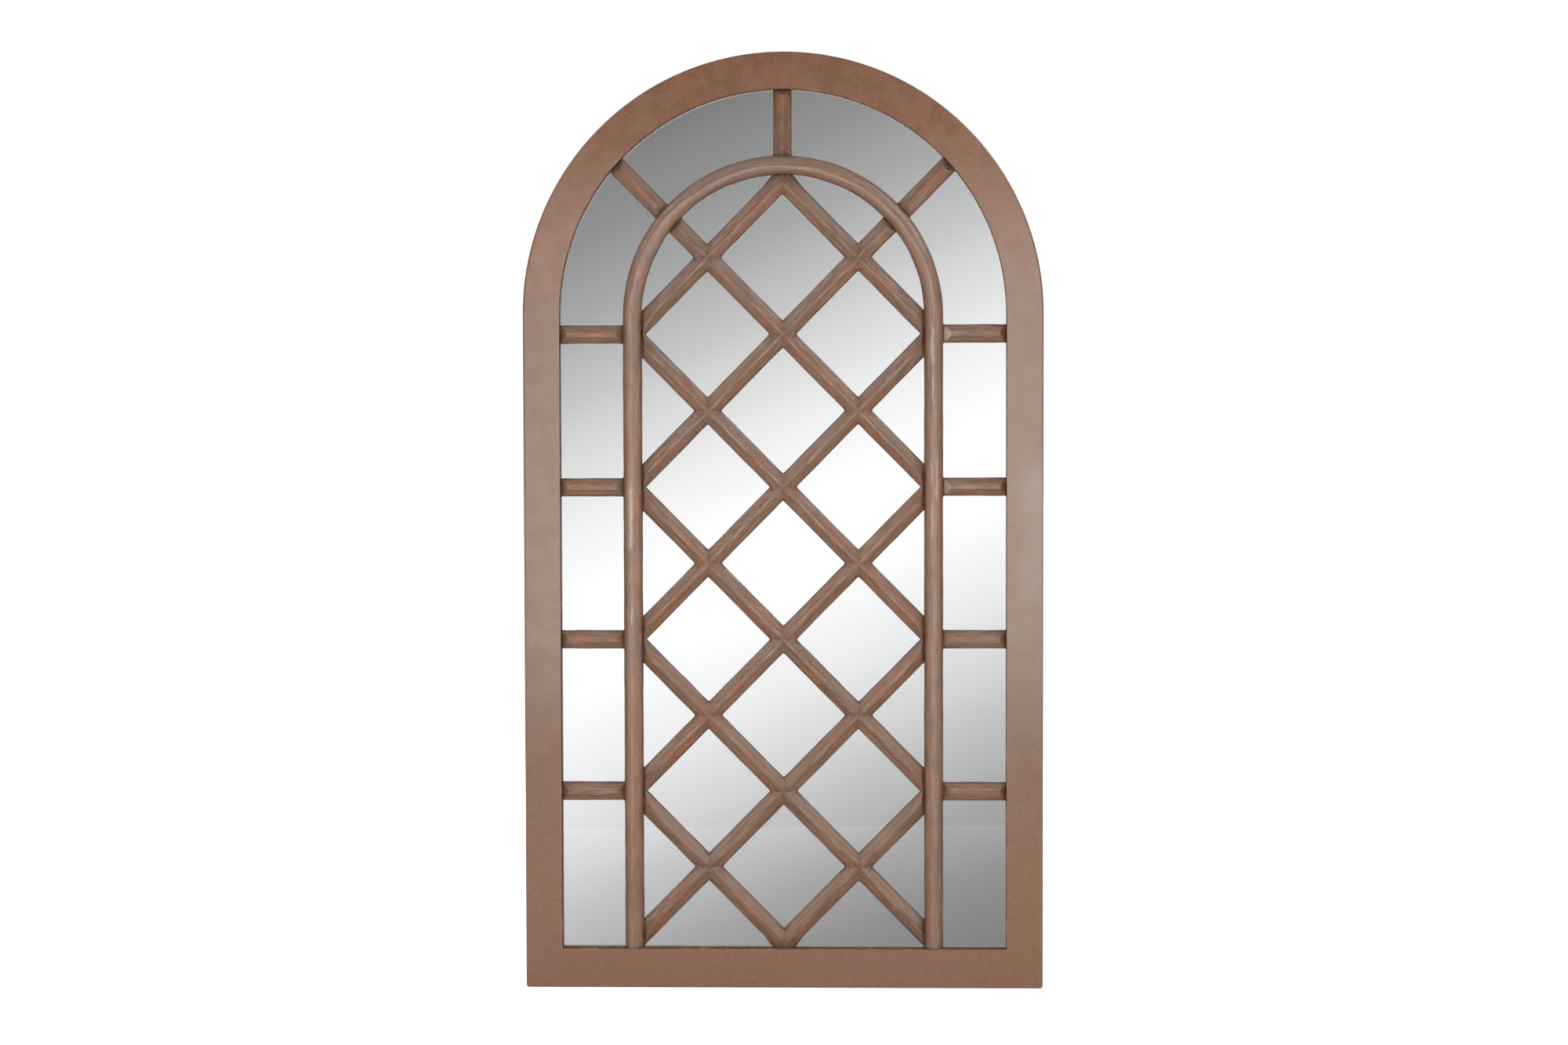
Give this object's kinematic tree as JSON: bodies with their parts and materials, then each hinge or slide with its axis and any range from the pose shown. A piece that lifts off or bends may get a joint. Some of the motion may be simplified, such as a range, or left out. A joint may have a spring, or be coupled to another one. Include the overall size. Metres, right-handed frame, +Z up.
{
  "type": "arched window mirror",
  "caption": "Tall round-headed wall mirror made like a window: a flat brown frame, a half-round hoop on the glass filled by a diagonal lattice of glazing bars, and hangers behind.",
  "frame": {"origin": "middle of the frame's flat back face, on its bottom edge", "axes": "+X to the right as seen from the front, +Z up along the height, front of the mirror towards -Y, wall towards +Y"},
  "size_m": [0.8, 0.0301, 1.442],
  "materials": {
    "frame_paint": "satin brown paint on fibreboard",
    "hoop_paint": "rubbed brown paint on wood",
    "lattice_paint": "rubbed brown paint on wood",
    "muntin_paint": "rubbed brown paint on wood",
    "mirror_glass": "silvered float glass",
    "foam": "closed-cell foam",
    "hardboard": "smooth hardboard",
    "screw_steel": "zinc plated",
    "joint_screw_steel": "yellow zinc plated",
    "hanger_steel": "zinc plated",
    "dowel_wood": "bare beech",
    "bumper_rubber": "matt"
  },
  "bodies": {
    "frame": {"backing_board": "hardboard", "board_screws": "screw_steel", "bottom_rail": "frame_paint", "foam_sheet": "foam", "frame_joint_screws": "joint_screw_steel", "hanger_screws": "screw_steel", "hanger_strap_left": "hanger_steel", "hanger_strap_right": "hanger_steel", "head_left": "frame_paint", "head_right": "frame_paint", "hoop_crown": "hoop_paint", "hoop_dowels": "dowel_wood", "hoop_leg_left": "hoop_paint", "hoop_leg_right": "hoop_paint", "lattice_fall_1": "lattice_paint", "lattice_fall_2": "lattice_paint", "lattice_fall_3": "lattice_paint", "lattice_fall_4": "lattice_paint", "lattice_fall_5": "lattice_paint", "lattice_fall_6": "lattice_paint", "lattice_rise_1": "lattice_paint", "lattice_rise_2": "lattice_paint", "lattice_rise_3": "lattice_paint", "lattice_rise_4": "lattice_paint", "lattice_rise_5": "lattice_paint", "lattice_rise_6": "lattice_paint", "mirror_glass": "mirror_glass", "muntin_diagonal_left": "muntin_paint", "muntin_diagonal_right": "muntin_paint", "muntin_left_1": "muntin_paint", "muntin_left_2": "muntin_paint", "muntin_left_3": "muntin_paint", "muntin_left_4": "muntin_paint", "muntin_right_1": "muntin_paint", "muntin_right_2": "muntin_paint", "muntin_right_3": "muntin_paint", "muntin_right_4": "muntin_paint", "muntin_top": "muntin_paint", "stile_left": "frame_paint", "stile_right": "frame_paint", "wall_bumpers": "bumper_rubber"},
    "ring_left": {"hanger_ring_left": "hanger_steel"},
    "ring_right": {"hanger_ring_right": "hanger_steel"}
  },
  "joints": [
    {"name": "ring_left_swing", "type": "hinge", "parent": "frame", "child": "ring_left", "pos_m": [-0.383, 0.0032, 0.9], "axis": [1, 0, 0], "range_deg": [0, 180]},
    {"name": "ring_right_swing", "type": "hinge", "parent": "frame", "child": "ring_right", "pos_m": [0.383, 0.0032, 0.9], "axis": [1, 0, 0], "range_deg": [0, 180]}
  ]
}
